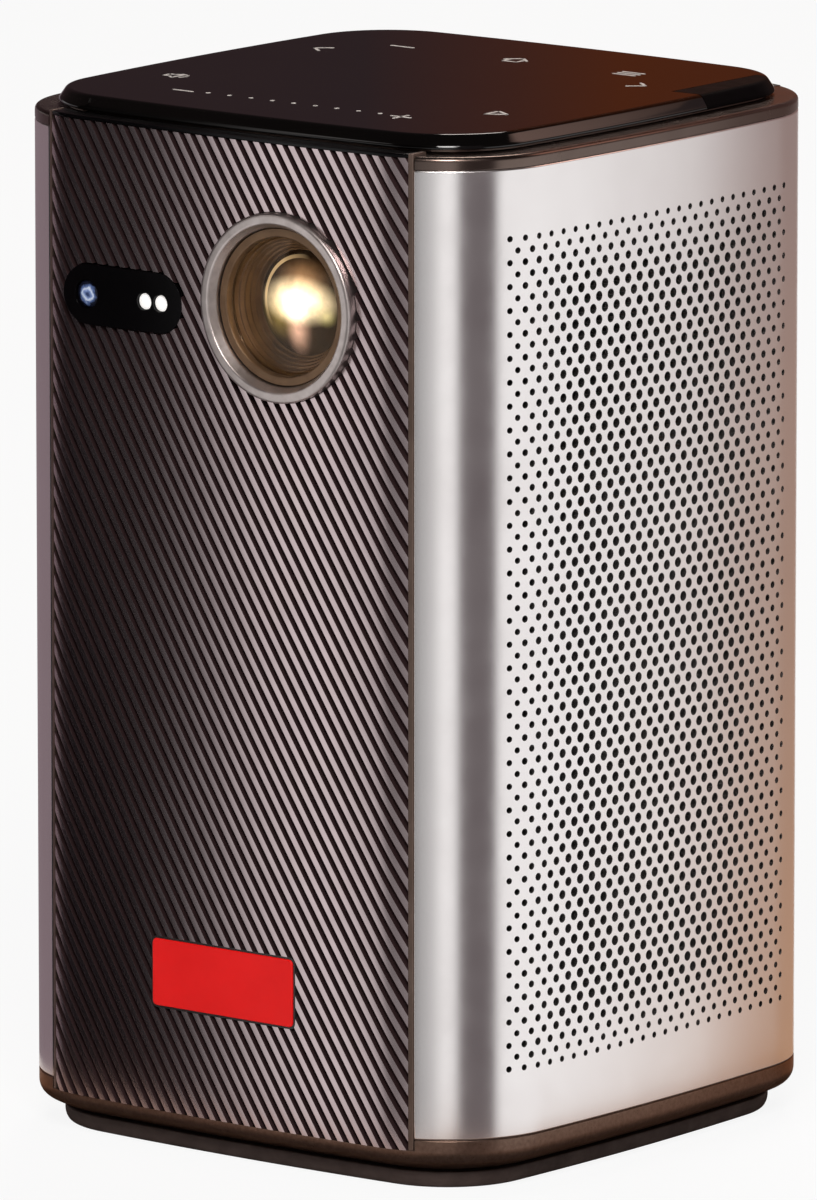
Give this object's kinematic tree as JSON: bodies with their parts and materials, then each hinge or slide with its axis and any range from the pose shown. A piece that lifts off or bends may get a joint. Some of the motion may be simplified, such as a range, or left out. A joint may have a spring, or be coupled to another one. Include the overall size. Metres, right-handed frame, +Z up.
{
  "type": "video projector",
  "caption": "Upright square tower projector with perforated metal sides, a ribbed front holding the lens and sensor window, a glass touch top and a tripod thread below.",
  "frame": {"origin": "centre of the underside, on the table", "axes": "+Z up, -Y towards the front with the lens, +X to the right seen from the front"},
  "size_m": [0.086, 0.088, 0.145],
  "materials": {
    "anodised_aluminium": "satin anodised",
    "rib_plastic": "satin black with bright rib tops",
    "trim": "satin bronze",
    "black_plastic": "fine satin",
    "top_glass": "polished black glass",
    "dark_window": "polished",
    "rubber": "matt",
    "brass": "turned",
    "bezel_metal": "polished",
    "barrel_black": "matt black",
    "lens_glass": "coated",
    "optic_glass": "clear",
    "steel": "bright",
    "white_plastic": "satin",
    "badge_red": "gloss",
    "board_green": "solder mask",
    "connector_metal": "plated",
    "chassis_plastic": "moulded",
    "cast_metal": "die cast",
    "sink_metal": "extruded",
    "copper": "copper",
    "lamp_white": "white",
    "cell_blue": "sleeve",
    "magnet_metal": "plated",
    "cone_paper": "coated"
  },
  "bodies": {
    "projector": {"right_side_shell": "anodised_aluminium", "left_side_shell": "anodised_aluminium", "front_panel": "rib_plastic", "right_trim_strip": "trim", "left_trim_strip": "trim", "rear_panel": "black_plastic", "top_rim": "black_plastic", "touch_plate": "top_glass", "ir_window": "dark_window", "touch_board": "board_green", "base_frame": "black_plastic", "rubber_foot": "rubber", "tripod_insert": "brass", "lens_bezel": "bezel_metal", "lens_sleeve": "barrel_black", "focus_motor": "steel", "sensor_window": "dark_window", "camera_lens": "dark_window", "range_sensors": "white_plastic", "sensor_board": "board_green", "badge_plate": "badge_red", "power_switch": "black_plastic", "hdmi_socket": "connector_metal", "usb_socket": "connector_metal", "power_socket": "connector_metal", "audio_jack": "black_plastic", "chassis": "chassis_plastic", "engine_housing": "cast_metal", "engine_lid": "cast_metal", "lamp_boards": "lamp_white", "condenser_lenses": "optic_glass", "dichroic_cube": "optic_glass", "prism": "optic_glass", "mirror_chip": "cast_metal", "heat_sink": "sink_metal", "heat_pipes": "copper", "fan_frame": "black_plastic", "fan_stator": "copper", "main_board": "board_green", "processor_shield": "sink_metal", "power_board": "board_green", "power_coils": "cast_metal", "battery_cells": "cell_blue", "battery_holder": "black_plastic", "right_speaker_frame": "black_plastic", "right_speaker_magnet": "magnet_metal", "left_speaker_frame": "black_plastic", "left_speaker_magnet": "magnet_metal", "case_screws": "steel", "fan_screws": "steel"},
    "focus_group": {"focus_barrel": "barrel_black", "front_lens": "lens_glass", "rear_lens": "optic_glass"},
    "focus_drive": {"focus_screw": "steel"},
    "fan": {"fan_rotor": "black_plastic", "fan_shaft": "steel"},
    "power_key": {"power_button": "black_plastic"},
    "right_cone": {"right_speaker_cone": "cone_paper"},
    "left_cone": {"left_speaker_cone": "cone_paper"}
  },
  "joints": [
    {"name": "focus_slide", "type": "slide", "parent": "projector", "child": "focus_group", "axis": [0, -1, 0], "range_m": [-0.001, 0.001]},
    {"name": "focus_screw_turn", "type": "hinge", "parent": "projector", "child": "focus_drive", "pos_m": [0.01, -0.03, 0.103], "axis": [0, 1, 0], "range_deg": [-200, 200]},
    {"name": "fan_spin", "type": "hinge", "parent": "projector", "child": "fan", "pos_m": [0, 0.033, 0.116], "axis": [0, 1, 0], "continuous": true},
    {"name": "power_button_press", "type": "slide", "parent": "projector", "child": "power_key", "axis": [0, -1, 0], "range_m": [0, 0.0008], "stiffness_N_per_m": 1500},
    {"name": "right_cone_stroke", "type": "slide", "parent": "projector", "child": "right_cone", "axis": [1, 0, 0], "range_m": [-0.0005, 0.0005], "stiffness_N_per_m": 900},
    {"name": "left_cone_stroke", "type": "slide", "parent": "projector", "child": "left_cone", "axis": [-1, 0, 0], "range_m": [-0.0005, 0.0005], "stiffness_N_per_m": 900}
  ],
  "couplings": [
    {"joint": "focus_screw_turn", "follows": "focus_slide", "rad_per_m": 3141.6}
  ]
}
